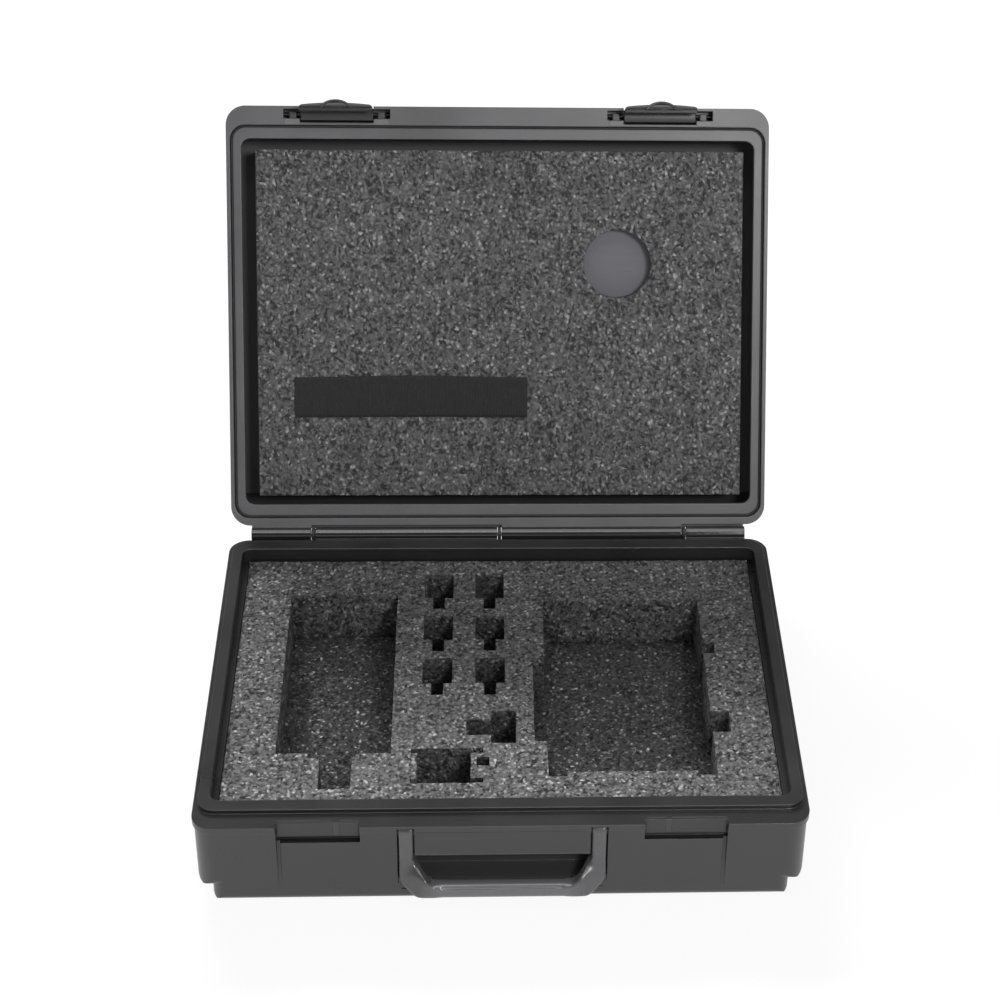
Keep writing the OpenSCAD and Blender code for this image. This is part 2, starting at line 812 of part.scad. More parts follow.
// A lever is drawn closed, then stands off by its rest angle about its own pin.
module latch_lever(side) {
    dome_r = (tab_w * tab_w / 4 + tab_out * tab_out) / (2 * tab_out);
    color("#2e2e30") on_lid() translate([side * latch_x, axis_y, axis_z]) rotate([-latch_rest, 0, 0])
    translate([0, -axis_y, -axis_z])
    difference() {
        union() {
            x_rod(0, axis_y, axis_z, lever_w, eye_r);
            box([-lever_w / 2, lever_face, lever_bottom], [lever_w / 2, lever_back, axis_z]);
            box([-lever_w / 2, lever_back - past, lever_bottom],
                [lever_w / 2, lever_back + hook_in, lever_bottom + hook_h]);
            intersection() {
                translate([0, lever_face - tab_out + dome_r, lever_bottom])
                    cylinder(h = tab_t, r = dome_r);
                box([-tab_w / 2, lever_face - tab_out - past, lever_bottom],
                    [tab_w / 2, lever_back, lever_bottom + tab_t]);
            }
        }
        x_rod(0, axis_y, axis_z, lever_w + 2 * past, lpin_r + run_clear);
    }
}

module latch_pin(side) {
    color("#a9abae") on_lid() x_rod(side * latch_x, axis_y, axis_z, lpin_len, lpin_r);
}

base_shell();
base_foam_pad();
base_foam_insert();
catch_plate(left);  // catch_plate_left
catch_plate(right);  // catch_plate_right
catch_block(left);  // catch_block_left
catch_block(right);  // catch_block_right
handle();
handle_pin(left);  // handle_pin_left
handle_pin(right);  // handle_pin_right
hinge_rod();
lid_shell();
lid_foam_backer();
lid_backing_board();
lid_foam_pad();
elastic_strap();
strap_clamp(left);  // strap_clamp_left
strap_clamp(right);  // strap_clamp_right
latch_lever(left);  // latch_lever_left
latch_lever(right);  // latch_lever_right
latch_pin(left);  // latch_pin_left
latch_pin(right);  // latch_pin_right
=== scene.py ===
import json
import math

import bmesh
import bpy
from mathutils import Matrix, Vector, noise


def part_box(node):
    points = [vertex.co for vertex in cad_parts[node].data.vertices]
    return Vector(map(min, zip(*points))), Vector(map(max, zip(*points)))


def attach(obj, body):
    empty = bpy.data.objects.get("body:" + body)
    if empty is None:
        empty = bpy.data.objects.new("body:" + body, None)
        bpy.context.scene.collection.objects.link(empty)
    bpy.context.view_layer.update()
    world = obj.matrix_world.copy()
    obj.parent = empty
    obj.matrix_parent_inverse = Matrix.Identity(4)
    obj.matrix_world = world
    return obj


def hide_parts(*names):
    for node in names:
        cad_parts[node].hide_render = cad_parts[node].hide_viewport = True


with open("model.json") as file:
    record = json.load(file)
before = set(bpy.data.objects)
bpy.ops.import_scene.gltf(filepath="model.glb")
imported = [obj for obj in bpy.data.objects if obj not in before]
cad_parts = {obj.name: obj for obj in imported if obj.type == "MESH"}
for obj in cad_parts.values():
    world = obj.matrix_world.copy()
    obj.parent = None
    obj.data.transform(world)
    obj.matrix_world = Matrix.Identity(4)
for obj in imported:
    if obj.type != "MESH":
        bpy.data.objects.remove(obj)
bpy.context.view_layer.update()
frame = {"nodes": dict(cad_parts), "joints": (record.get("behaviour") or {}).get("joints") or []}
nodes = frame["nodes"]
mm = 0.001

# ---------------------------------------------------------------------------
# Base shell
# One deep injection moulding in charcoal plastic with a spark-eroded grain.
# Edges are rubbed paler, painted shade darkens the corners, the knuckles are smooth.
# ---------------------------------------------------------------------------
base_charcoal = (0.0185, 0.018, 0.0185)
knuckle_black = (0.019, 0.0185, 0.019)
# Painted light: the finger recess is coloured paler than the shell, standing in for light that barely reaches
# into it.
recess_painted_light = (0.06, 0.057, 0.06)
recess_half, recess_top = 54.6 * mm, 37.5 * mm
recess_y = (-145.6 * mm, -127.5 * mm)
lid_joint = next(j for j in frame["joints"] if j["name"] == "lid_hinge")
hinge = Vector(lid_joint["pos_m"])
barrel_r = 5 * mm


def add(tree, kind, inputs=None, **settings):
    """A shader node with its settings, and its inputs set or linked."""
    made = tree.nodes.new(kind)
    for key, value in settings.items():
        setattr(made, key, value)
    for key, value in (inputs or {}).items():
        if isinstance(value, bpy.types.NodeSocket):
            tree.links.new(value, made.inputs[key])
        else:
            made.inputs[key].default_value = value
    return made


def speckle(tree, at, scale, detail):
    """Cloudy noise, with its cells per metre and its layers of detail."""
    return add(tree, "ShaderNodeTexNoise", {"Vector": at, "Scale": scale, "Detail": detail}).outputs["Fac"]


def shades(tree, amount, stops):
    """A colour ramp; each stop is a place and a grey level or a colour."""
    made = add(tree, "ShaderNodeValToRGB", {"Fac": amount})
    points = made.color_ramp.elements
    points.remove(points[1])
    for i, (place, tone) in enumerate(stops):
        point = points[0] if i == 0 else points.new(place)
        point.position = place
        point.color = (*tone, 1) if isinstance(tone, tuple) else (tone, tone, tone, 1)
    return made.outputs["Color"]


def blended(tree, amount, a, b, way="MIX"):
    made = add(tree, "ShaderNodeMix", {"Factor": amount}, data_type="RGBA", blend_type=way)
    for socket, value in ((made.inputs[6], a), (made.inputs[7], b)):
        if isinstance(value, bpy.types.NodeSocket):
            tree.links.new(value, socket)
        else:
            socket.default_value = (*value, 1)
    return made.outputs[2]


def sums(tree, how, a, b=0.0, clamp=False):
    return add(tree, "ShaderNodeMath", {0: a, 1: b}, operation=how, use_clamp=clamp).outputs[0]


def lit(colour, by):
    return tuple(c * by for c in colour)


def length_along(tree, a, b):
    """How far one direction or place reaches along another."""
    return add(tree, "ShaderNodeVectorMath", {0: a, 1: b}, operation="DOT_PRODUCT").outputs["Value"]


def hollows(tree, reach, samples, own=False):
    """1 in the open, falling to 0 deep in a corner. It looks as far as reach, or only at its own piece."""
    return add(tree, "ShaderNodeAmbientOcclusion", {"Distance": reach}, samples=samples,
               only_local=own).outputs["AO"]


def bumped(tree, skin, height, strength, deep, normal=None):
    inputs = {"Height": height, "Strength": strength, "Distance": deep}
    if normal:
        inputs["Normal"] = normal
    tree.links.new(add(tree, "ShaderNodeBump", inputs).outputs["Normal"], skin.inputs["Normal"])


def finish_of(name):
    """A new material, its node tree, its shader and the piece's own coordinates."""
    made = bpy.data.materials.new(name)
    made.use_nodes = True
    tree = made.node_tree
    return made, tree, tree.nodes["Principled BSDF"], add(tree, "ShaderNodeTexCoord").outputs["Object"]


def moulded(name, colour, rough=0.3, grain=0.22, rubbed=2.2, edge=0.9 * mm, shine=0.5, areas=()):
    """Moulded plastic. Each area is a test of the coordinates, with the colour and roughness it has there."""
    made, tree, skin, at = finish_of(name)
    rounded = add(tree, "ShaderNodeBevel", {"Radius": edge}, samples=6).outputs["Normal"]
    straight = add(tree, "ShaderNodeNewGeometry").outputs["Normal"]
    bent = sums(tree, "SUBTRACT", 1.0, length_along(tree, rounded, straight))
    worn = sums(tree, "MULTIPLY", bent, 3.2, True)
    flow = speckle(tree, at, 16, 6)
    scuffs = speckle(tree, at, 260, 3)
    tone = shades(tree, flow, [(0.32, lit(colour, 0.84)), (0.5, colour), (0.7, lit(colour, 1.16))])
    tone = blended(tree, sums(tree, "MULTIPLY", scuffs, 0.2), tone, lit(colour, 1.5))
    tone = blended(tree, sums(tree, "MULTIPLY", worn, scuffs), tone, lit(colour, rubbed))
    # Painted shade: the colour darkens towards a darker copy in corners and creases, where shade falls.
    painted_corner_shade = shades(tree, hollows(tree, 9 * mm, 6, own=True), [(0.25, 0.6), (0.75, 0.0)])
    tone = blended(tree, painted_corner_shade, tone, lit(colour, 0.45))
    gloss = shades(tree, flow, [(0.3, rough - 0.05), (0.7, rough + 0.07)])
    for test, area_colour, area_rough in areas:
        within = test(tree, at)
        tone = blended(tree, within, tone, area_colour)
        gloss = blended(tree, within, gloss, (area_rough,) * 3)
    tree.links.new(tone, skin.inputs["Base Color"])
    tree.links.new(gloss, skin.inputs["Roughness"])
    skin.inputs["Specular IOR Level"].default_value = shine
    bumped(tree, skin, speckle(tree, at, 1700, 2), grain, 0.1 * mm, rounded)
    return made


def dress(finish, *names):
    for name in names:
        nodes[name].data.materials.clear()
        nodes[name].data.materials.append(finish)


def split(tree, at):
    return add(tree, "ShaderNodeSeparateXYZ", {"Vector": at}).outputs


def all_of(tree, tests):
    both = tests[0]
    for test in tests[1:]:
        both = sums(tree, "MULTIPLY", both, test)
    return both


def around_hinge(tree, y, z):
    """1 within the hinge barrel's radius of its axis, from two coordinates, and 0 outside."""
    y, z = sums(tree, "SUBTRACT", y, hinge.y), sums(tree, "SUBTRACT", z, hinge.z)
    square = sums(tree, "ADD", sums(tree, "MULTIPLY", y, y), sums(tree, "MULTIPLY", z, z))
    return sums(tree, "LESS_THAN", square, (barrel_r + 0.3 * mm) ** 2)


def base_knuckles(tree, at):
    place = split(tree, at)
    return around_hinge(tree, place["Y"], place["Z"])


def in_recess(tree, at):
    """1 on the faces of the finger recess, and 0 elsewhere."""
    place = split(tree, at)
    return all_of(tree, [sums(tree, "GREATER_THAN", place["Y"], recess_y[0]),
                         sums(tree, "LESS_THAN", place["Y"], recess_y[1]),
                         sums(tree, "LESS_THAN", place["Z"], recess_top),
                         sums(tree, "LESS_THAN", sums(tree, "ABSOLUTE", place["X"]), recess_half)])


base_plastic = moulded("base_plastic", base_charcoal, shine=0.75,
                       areas=[(base_knuckles, knuckle_black, 0.1), (in_recess, recess_painted_light, 0.4)])
dress(base_plastic, "base_shell")

# ---------------------------------------------------------------------------
# Foam in the base
# A plain pad of charcoal foam with a thick die-cut layer on it, whose pockets
# are cut right through. Open-cell foam with pale flecks, painted glints and painted shade deep in the
# pockets; it lies in loose.
# ---------------------------------------------------------------------------
pad_low, pad_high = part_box("base_foam_pad")
cut_low, cut_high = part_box("base_foam_insert")
foam_step = 2.2 * mm
foam_rough, foam_sag = 0.4 * mm, 0.5 * mm
cell_waves, lump_waves, swell_waves = 420, 150, 22
top_depth, push_reach = 2 * mm, 22 * mm
# Pockets: left edge, front edge, width and length, in mm from the middle of
# the case. An ear is a narrow slot along a pocket's edge.
ear = 4
plug_columns = (-42.25, -7.25)
plug_rows = (0, 46, 92)
body_w, body_l = 19.5, 26
stem_w, stem_l = 7.7, 12
left_part = [(-144, -69, 73, 165), (-123.5, -73, 32, ear), (-115.5, -102, 20, 33)]
right_part = [(29.5, -88, 107.5, 176), (29.5, -92, 12, ear), (125, -92, 12, ear),
              (21.5, -58.7, 8, 88), (137, -50.7, 12, 20), (137, 29.3, 8, 12)]
front_part = [(-54, -97.5, 34, 32.5), (-58, -97.5, 46, ear), (-58, -69, 46, ear)]
small_parts = [(-16, -81.5, 8, 8), (-6.75, -60, 16, 31), (-22.75, -52, 16, 15)]
pockets = left_part + right_part + front_part + small_parts
for x in plug_columns:
    for y in plug_rows:
        pockets += [(x - body_w / 2, y, body_w, body_l), (x - stem_w / 2, y - stem_l, stem_w, stem_l)]


def foam(name, deep, mid, pale, glint, stroke, hollow=1.0):
    """Open-cell foam: torn cell walls as short strokes, so many to the metre along and across them, whose
    direction changes from place to place. Its brightest stop is a painted glint. Hollow is how far painted
    shade darkens the foam deep in a pocket."""
    made, tree, skin, at = finish_of(name)
    size = (1 / stroke[0], 1 / stroke[1], 1 / stroke[1])
    layers = []
    for turn in ((0.3, 0.5, 0.4), (1.2, -0.4, 1.5), (-0.7, 0.9, 2.6), (0.9, 1.3, -0.9)):
        spun = add(tree, "ShaderNodeMapping", {"Vector": at, "Rotation": turn, "Scale": size},
                   vector_type="TEXTURE").outputs["Vector"]
        cells = add(tree, "ShaderNodeTexVoronoi", {"Vector": spun, "Scale": 1.0})
        own = add(tree, "ShaderNodeSeparateColor", {"Color": cells.outputs["Color"]}).outputs[0]
        layers.append(sums(tree, "SUBTRACT", own, sums(tree, "MULTIPLY", cells.outputs["Distance"], 0.45)))
    swirl = shades(tree, speckle(tree, at, 190, 1), [(0.4, 0.0), (0.6, 1.0)])
    drift = shades(tree, speckle(tree, at, 130, 1), [(0.4, 0.0), (0.6, 1.0)])
    strokes = blended(tree, drift, blended(tree, swirl, layers[0], layers[1]),
                      blended(tree, swirl, layers[2], layers[3]))
    patch = sums(tree, "MULTIPLY", sums(tree, "SUBTRACT", speckle(tree, at, 30, 4), 0.5), 0.3)
    level = sums(tree, "ADD", sums(tree, "ADD", strokes, patch), 0.08)
    # The top stop is a painted glint: light caught by the cell walls.
    tone = shades(tree, level, [(0.0, deep), (0.3, mid * 0.8), (0.6, mid * 1.25), (0.8, pale), (0.95, glint)])
    # Painted shade: the foam darkens deep in pockets and corners, where shade falls.
    painted_pocket_shade = shades(tree, hollows(tree, 30 * mm, 8), [(0.1, hollow), (0.8, 1.0)])
    tone = blended(tree, 1.0, tone, painted_pocket_shade, "MULTIPLY")
    tree.links.new(tone, skin.inputs["Base Color"])
    skin.inputs["Roughness"].default_value = 0.75
    skin.inputs["Specular IOR Level"].default_value = 0.3
    bumped(tree, skin, level, 0.7, 1 * mm)
    return made


def rows(edges, step):
    """Grid lines through every edge, no further apart than step."""
    edges = sorted(set(round(e, 7) for e in edges))
    lines = []
    for a, b in zip(edges, edges[1:]):
        n = max(1, round((b - a) / step))
        lines += [a + (b - a) * i / n for i in range(n)]
    return lines + [edges[-1]]


def made_of(name, bm, place):
    """A new piece from a set of faces, moved to its place and shaded smooth."""
    if place:
        bm.transform(place)
    mesh = bpy.data.meshes.new(name)
    bm.to_mesh(mesh)
    bm.free()
    mesh.shade_smooth()
    piece = bpy.data.objects.new(name, mesh)
    bpy.context.scene.collection.objects.link(piece)
    return piece


def crisp(piece, width, angle=35, hard=True):
    """Narrow rounded edges on a piece; the faces between them stay flat on a hard one."""
    edges = piece.modifiers.new("edges", "BEVEL")
    edges.width, edges.segments, edges.limit_method = width, 2, "ANGLE"
    edges.angle_limit = math.radians(angle)
    edges.harden_normals = hard


def foam_block(name, low, high, cuts=(), bore=None, step=foam_step, place=None, sag=0.0, pushed=0.0):
    """A foam block as one skin, cut through by rectangles and one round bore (x, y, radius). Its top sags
    unevenly and is pushed up along its back edge."""
    square = []
    if bore:
        half = bore[2] * 1.2
        square = [((bore[0] - half, bore[0] + half), (bore[1] - half, bore[1] + half))]
    spans = [((x, x + w), (y, y + l)) for x, y, w, l in cuts] + square
    xs = rows([low.x, high.x] + [e for span in spans for e in span[0]], step)
    ys = rows([low.y, high.y] + [e for span in spans for e in span[1]], step)
    zs = rows([low.z, high.z], step * 1.3)
    bm = bmesh.new()
    corners = {}

    def corner(i, j, k):
        if (i, j, k) not in corners:
            corners[i, j, k] = bm.verts.new((xs[i], ys[j], zs[k]))
        return corners[i, j, k]

    def inside(i, j, spans):
        x, y = (xs[i] + xs[i + 1]) / 2, (ys[j] + ys[j + 1]) / 2
        return any(a < x < b and c < y < d for (a, b), (c, d) in spans)

    full = {(i, j) for i in range(len(xs) - 1) for j in range(len(ys) - 1) if not inside(i, j, spans)}
    ring = {(i, j) for i in range(len(xs) - 1) for j in range(len(ys) - 1) if inside(i, j, square)}
    top = len(zs) - 1
    for i, j in sorted(full):
        around = [(i, j), (i + 1, j), (i + 1, j + 1), (i, j + 1)]
        bm.faces.new([corner(*spot, top) for spot in around])
        bm.faces.new([corner(*spot, 0) for spot in around[:1] + around[:0:-1]])
        # A wall stands wherever the next cell is empty.
        cells_beyond = (i, j - 1), (i + 1, j), (i, j + 1), (i - 1, j)
        for p, q, beyond in zip(around, around[1:] + around[:1], cells_beyond):
            if beyond not in full and beyond not in ring:
                for k in range(top):
                    bm.faces.new([corner(*p, k), corner(*q, k), corner(*q, k + 1), corner(*p, k + 1)])
    if bore:
        i0, i1 = min(i for i, j in ring), max(i for i, j in ring) + 1
        j0, j1 = min(j for i, j in ring), max(j for i, j in ring) + 1
        edge = ([(i, j0) for i in range(i0, i1)] + [(i1, j) for j in range(j0, j1)]
                + [(i, j1) for i in range(i1, i0, -1)] + [(i0, j) for j in range(j1, j0, -1)])

        def on_circle(i, j, z):
            out = Vector((xs[i] - bore[0], ys[j] - bore[1])).normalized() * bore[2]
            return bm.verts.new((bore[0] + out.x, bore[1] + out.y, z))

        wall = [[on_circle(i, j, z) for i, j in edge] for z in zs]
        rims = []
        for k in (0, top):
            outer = [corner(i, j, k) for i, j in edge]
            between = [bm.verts.new(a.co.lerp(b.co, 0.55)) for a, b in zip(outer, wall[k])]
            rims.append([outer, between, wall[k]])
        bottom_rims, top_rims = rims
        for n in range(len(edge)):
            m = (n + 1) % len(edge)
            for loops, flip in ((top_rims, False), (bottom_rims, True)):
                for outer, inner in zip(loops, loops[1:]):
                    quad = [outer[n], outer[m], inner[m], inner[n]]
                    bm.faces.new(quad[::-1] if flip else quad)
            for k in range(top):
                bm.faces.new([wall[k][m], wall[k][n], wall[k + 1][n], wall[k + 1][m]])
    bm.normal_update()
    for v in bm.verts:
        swelling = noise.noise(v.co * cell_waves) + 0.7 * noise.noise(v.co * lump_waves) - 0.5
        v.co += v.normal * foam_rough * swelling
        if sag and v.co.z > high.z - top_depth:
            v.co.z += sag * noise.noise(v.co * swell_waves)
            v.co.z += pushed * max(0, 1 - (high.y - v.co.y) / push_reach) ** 2
    block = made_of(name, bm, place)
    crisp(block, 0.6 * mm, 55, hard=False)
    return block


die_cut = foam("die_cut_foam", 0.021, 0.118, 0.315, 0.48, stroke=(300, 540), hollow=0.4)
plain_foam = foam("plain_foam", 0.01, 0.07, 0.25, 0.7, stroke=(300, 540), hollow=0.35)
cut_layer = foam_block("die_cut_layer", cut_low, cut_high, [[v * mm for v in pocket] for pocket in pockets],
                       sag=foam_sag, pushed=2.2 * mm)
cut_layer.data.materials.append(die_cut)
floor_pad = foam_block("base_floor_pad", pad_low, pad_high, step=3.2 * mm)
floor_pad.data.materials.append(plain_foam)
for piece, node in ((cut_layer, "base_foam_insert"), (floor_pad, "base_foam_pad")):
    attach(piece, "base")
    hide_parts(node)

# ---------------------------------------------------------------------------
# Foam ledge
# A thin moulded ring under the rim that closes the gap round the foam, glued
# to the underside of the rim; the foam pushes up through it.
# ---------------------------------------------------------------------------
ledge_low, ledge_high = cut_high.z - 2.6 * mm, cut_high.z - 0.2 * mm
# Half the width, the front edge, the back edge and the corner radius.
ledge_inner = (cut_high.x + 0.3 * mm, cut_low.y - 0.3 * mm, cut_high.y + 0.3 * mm, 1.5 * mm)
ledge_outer = (184 * mm, -142.5 * mm, 141.2 * mm, 8 * mm)


def rounded_outline(half_x, y0, y1, r, z, steps=6):
    """A rectangle with round corners, seen from above, as points in order."""
    points = []
    for cx, cy, start in ((half_x - r, y0 + r, -90), (half_x - r, y1 - r, 0), (r - half_x, y1 - r, 90),
                          (r - half_x, y0 + r, 180)):
        for i in range(steps + 1):
            a = math.radians(start + 90 * i / steps)
            points.append(Vector((cx + r * math.cos(a), cy + r * math.sin(a), z)))
    return points


def skin_of(name, loops, ends=True, place=None):
    """A skin through equal loops of points, closed by its two ends or, without ends, back on itself."""
    bm = bmesh.new()
    rings = [[bm.verts.new(p) for p in loop] for loop in loops]
    pairs = list(zip(rings, rings[1:])) + ([] if ends else [(rings[-1], rings[0])])
    for a, b in pairs:
        for n in range(len(a)):
            m = (n + 1) % len(a)
            bm.faces.new([a[n], a[m], b[m], b[n]])
    if ends:
        bm.faces.new(rings[0][::-1])
        bm.faces.new(rings[-1])
    bmesh.ops.recalc_face_normals(bm, faces=bm.faces)
    return made_of(name, bm, place)


ledge_section = [(ledge_outer, ledge_low), (ledge_outer, ledge_high),
                 (ledge_inner, ledge_high), (ledge_inner, ledge_low)]
ledge = skin_of("foam_ledge", [rounded_outline(*edge, z) for edge, z in ledge_section], ends=False)
crisp(ledge, 0.4 * mm)
ledge.data.materials.append(base_plastic)
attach(ledge, "base")

# ---------------------------------------------------------------------------
# Catch plates
# Four plain plates in the front wall, under which the latches hook: the same
# charcoal plastic, pressed into the wall and worn by the hooks.
# ---------------------------------------------------------------------------
dress(moulded("catch_plastic", (0.035, 0.0345, 0.034), rough=0.36, rubbed=2.2),
      "catch_plate_left", "catch_plate_right", "catch_block_left", "catch_block_right")

# ---------------------------------------------------------------------------
# Carrying handle
# A satin grey bail with flat arms, webbed elbows and a round grip with a long
# shallow groove, moulded in one and hung on two steel pins.
# ---------------------------------------------------------------------------
handle_joint = next(j for j in frame["joints"] if j["name"] == "handle_hinge")
bail_low, bail_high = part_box("handle")
pivot_y, pivot_z = handle_joint["pos_m"][1:]
arm_half_w, arm_half_t = 4.6 * mm, 4.5 * mm
arm_x = bail_high.x - arm_half_w
grip_r = 5.3 * mm
grip_y = bail_low.y + grip_r
grip_z = bail_low.z + grip_r
corner_cut = 7.4 * mm
web_reach = 14 * mm
lean_from = grip_z + 18.5 * mm
grip_from, grip_fade = 8 * mm, 14 * mm
# The section is nearly square on the arms and loses most of that on the grip.
arm_square, round_off = 4.6, 2.4
groove_half, groove_deep = 45 * mm, 0.9 * mm
top_steps, arm_steps, elbow_steps, grip_steps = 10, 26, 24, 44
grey_satin = (0.083, 0.083, 0.087)


def bail_crossings():
    """The bail's inner and outer edge as pairs of (x, z), from the pivot round the elbow to mid-grip."""
    pairs = []
    top = pivot_z + arm_half_t
    web_z = web_reach + corner_cut - arm_half_w
    heights = [top - arm_half_t * (1 - math.cos(math.pi / 2 * i / top_steps)) for i in range(top_steps + 1)]
    heights += [pivot_z + (grip_z + web_z - pivot_z) * i / arm_steps for i in range(1, arm_steps)]
    pairs += [((arm_x - arm_half_w, z), (arm_x + arm_half_w, z)) for z in heights]
    hub = Vector((-web_z, web_z))
    outside = corner_cut - arm_half_w * math.sqrt(2)
    for i in range(elbow_steps + 1):
        a = math.pi / 2 * i / elbow_steps
        ray = Vector((math.cos(a), -math.sin(a)))
        square = ray.x + max(-ray.y, 1e-9)
        inner = (hub.y - hub.x - web_reach - corner_cut) / square
        outer = (hub.y - hub.x - outside) / square
        for normal, limit in (((1, 0), arm_half_w), ((0, -1), grip_r)):
            slope = ray.dot(normal)
            if slope > 1e-6:
                outer = min(outer, (limit - hub.dot(normal)) / slope)
        inner, outer = hub + ray * inner, hub + ray * outer
        pairs.append(((arm_x + inner.x, grip_z + inner.y), (arm_x + outer.x, grip_z + outer.y)))
    start = arm_x - web_z
    for i in range(1, grip_steps + 1):
        x = start * (1 - i / grip_steps)
        pairs.append(((x, grip_z + grip_r), (x, grip_z - grip_r)))
    # Averaging softens the elbow; the round top end is kept as it is.
    kept = top_steps + 2
    for _ in range(3):
        middle = [tuple(tuple((a[e][k] + 2 * b[e][k] + c[e][k]) / 4 for k in (0, 1)) for e in (0, 1))
                  for a, b, c in zip(pairs, pairs[1:], pairs[2:])]
        pairs = pairs[:kept] + middle[kept - 1:] + pairs[-1:]
    return pairs


def bail_section(inner, outer, count=96):
    """One closed cross-section of the bail between its inner and outer edge."""
    inner, outer = Vector((inner[0], 0, inner[1])), Vector((outer[0], 0, outer[1]))
    centre = (inner + outer) / 2
    across = (outer - inner) / 2
    lean = min(1, max(0, (lean_from - centre.z) / (lean_from - grip_z)))
    centre.y = pivot_y + (grip_y - pivot_y) * lean * lean * (3 - 2 * lean)
    grip = min(1, max(0, (arm_x - grip_from - centre.x) / grip_fade))
    deep = arm_half_t + (grip_r - arm_half_t) * grip
    if centre.z > pivot_z:
        deep = math.sqrt(max(arm_half_t ** 2 - (centre.z - pivot_z) ** 2, (0.2 * mm) ** 2))
    power = 2 / (arm_square - round_off * grip)
    reach = min(1, abs(centre.x) / groove_half)
    groove = groove_deep * (1 - reach ** 6) if grip >= 1 else 0
    wide = 0.14 + 0.06 * (1 - reach ** 2)
    loop = []
    for n in range(count):
        t = 2 * math.pi * n / count
        u = math.copysign(abs(math.cos(t)) ** power, math.cos(t))
        v = math.copysign(abs(math.sin(t)) ** power, math.sin(t))
        keep = 1 - groove / grip_r * math.exp(-((t - 1.25 * math.pi) / wide) ** 4)
        loop.append(centre + across * u * keep + Vector((0, v * deep * keep, 0)))
    return loop


# A small moulded wedge fills each corner of the bail's hollow outside its elbow.
# Its outline is in mm, outwards and upwards from where the arm meets the grip.
wedge_outline = [(-5.0, -5.1), (4.4, -5.1), (4.4, 0.2), (5.1, 0.2), (5.1, 5.0)]
wedge_y = (-146.1 * mm, -142 * mm)
for side, way in (("left", -1), ("right", 1)):
    rings = [[Vector((way * (arm_x + dx * mm), y, grip_z + dz * mm)) for dx, dz in wedge_outline]
             for y in wedge_y]
    wedge = skin_of("elbow_wedge_" + side, rings)
    crisp(wedge, 0.3 * mm)
    wedge.data.materials.append(base_plastic)
    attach(wedge, "base")


def held_and_highlit_grip(tree, at):
    """1 on the grip, fading to 0 at its ends and up the arms. Its paler tone is partly polish from hands and
    partly a painted highlight standing in for the light the grip catches.
    """
    place = split(tree, at)
    out = sums(tree, "MULTIPLY", sums(tree, "ABSOLUTE", place["X"]), 1 / (100 * mm))
    low = sums(tree, "LESS_THAN", place["Z"], grip_z + grip_r + 1 * mm)
    return sums(tree, "MULTIPLY", shades(tree, out, [(0.4, 1.0), (0.52, 0.0)]), low)


loops = [bail_section(*pair) for pair in bail_crossings()]
other_half = [[Vector((-p.x, p.y, p.z)) for p in loop] for loop in loops[-2::-1]]
bail = skin_of("carrying_bail", loops + other_half)
bail.data.materials.append(moulded("handle_plastic", grey_satin, rough=0.24, grain=0.15, rubbed=1.4,
                                   edge=0.4 * mm, shine=0.7, areas=[(held_and_highlit_grip, (0.155, 0.152, 0.16), 0.22)]))
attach(bail, "carrying_handle")
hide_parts("handle")


def stretched(tree, at, scale):
    return add(tree, "ShaderNodeMapping", {"Vector": at, "Scale": scale}).outputs["Vector"]


def steel(name, colour, rough):
    """Drawn steel wire: fine lines along X and a little tarnish."""
    made, tree, skin, at = finish_of(name)
    lines = speckle(tree, stretched(tree, at, (60, 1800, 1800)), 1.0, 3)
    stain = shades(tree, speckle(tree, at, 70, 4), [(0.45, 0.0), (0.75, 0.6)])
    bright = shades(tree, lines, [(0.3, lit(colour, 0.8)), (0.7, lit(colour, 1.1))])
    tone = blended(tree, stain, bright, (0.16, 0.15, 0.14))
    tree.links.new(tone, skin.inputs["Base Color"])
    tree.links.new(shades(tree, lines, [(0.3, rough - 0.08), (0.7, rough + 0.1)]), skin.inputs["Roughness"])
    skin.inputs["Metallic"].default_value = 1.0
    bumped(tree, skin, lines, 0.2, 0.03 * mm)
    return made


wire = steel("steel_wire", (0.06, 0.06, 0.06), 0.45)
dress(wire, "handle_pin_left", "handle_pin_right")

# ---------------------------------------------------------------------------
# Hinge
# One long bright wire through the knuckles of both shells, with a black nylon
# washer in each gap between them.
# ---------------------------------------------------------------------------
dress(steel("hinge_steel", (0.62, 0.62, 0.63), 0.26), "hinge_rod")
rod_low, rod_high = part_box("hinge_rod")
knuckle_short, knuckle_long, knuckle_gap = 42 * mm, 129 * mm, 3 * mm
washer_bore, washer_r, washer_w = 1.7 * mm, barrel_r - 0.3 * mm, 2.4 * mm
washer_edge = washer_r - 0.4 * mm
washer_profile = [(-1, washer_bore), (-1, washer_edge), (-0.7, washer_r),
                  (0.7, washer_r), (1, washer_edge), (1, washer_bore)]
washer_steps = 40
nylon = moulded("black_nylon", (0.02, 0.0195, 0.02), rough=0.6, grain=0.1, rubbed=1.5, edge=0.3 * mm)
gap = rod_low.x + knuckle_short + knuckle_gap / 2
for n, step in enumerate((0, knuckle_long + knuckle_gap, 2 * (knuckle_long + knuckle_gap))):
    loops = [[Vector((gap + step + side * washer_w / 2, hinge.y + r * math.cos(a), hinge.z + r * math.sin(a)))
              for a in [2 * math.pi * k / washer_steps for k in range(washer_steps)]]
             for side, r in washer_profile]
    washer = skin_of("hinge_washer_%d" % (n + 1), loops, ends=False)
    crisp(washer, 0.15 * mm)
    washer.data.materials.append(nylon)
    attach(washer, "base")

